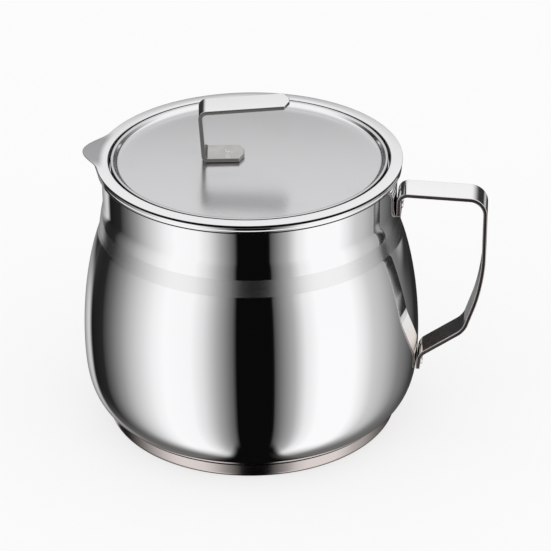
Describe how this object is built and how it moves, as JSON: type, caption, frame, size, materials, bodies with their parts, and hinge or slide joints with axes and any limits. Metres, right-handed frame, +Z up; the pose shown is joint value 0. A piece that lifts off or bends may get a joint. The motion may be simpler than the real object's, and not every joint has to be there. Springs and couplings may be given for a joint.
{
  "type": "grease container",
  "caption": "Bellied steel pot with a flat pouring beak, a strap handle, a strainer that hangs in its mouth ring, and a sunk lid with a bent strip knob, for keeping cooking fat.",
  "frame": {"origin": "middle of the underside of the base, on the table", "axes": "+Z up along the pot's axis, +X towards the handle, -X towards the beak"},
  "size_m": [0.1787, 0.1498, 0.1491],
  "materials": {
    "polished_steel": "mirror polished stainless steel",
    "satin_steel": "satin stainless steel",
    "base_steel": "polished stainless steel, a little dulled",
    "dull_aluminium": "dull, as rolled",
    "mesh_steel": "plain stainless wire mesh"
  },
  "bodies": {
    "pot": {"pot_shell": "polished_steel", "mouth_ring": "polished_steel", "base_cap": "base_steel", "base_core": "dull_aluminium", "handle_strap": "polished_steel", "handle_weld_upper_near": "satin_steel", "handle_weld_upper_far": "satin_steel", "handle_weld_lower_near": "satin_steel", "handle_weld_lower_far": "satin_steel"},
    "strainer": {"strainer_rim": "polished_steel", "strainer_mesh": "mesh_steel", "strainer_hoop": "polished_steel"},
    "lid": {"lid_plate": "satin_steel", "lid_knob": "polished_steel", "knob_weld_near": "satin_steel", "knob_weld_far": "satin_steel"}
  },
  "joints": [
    {"name": "strainer_lift", "type": "slide", "parent": "pot", "child": "strainer", "axis": [0, 0, 1], "range_m": [0, 0.045]},
    {"name": "lid_lift", "type": "slide", "parent": "strainer", "child": "lid", "axis": [0, 0, 1], "range_m": [0, 0.045]}
  ]
}
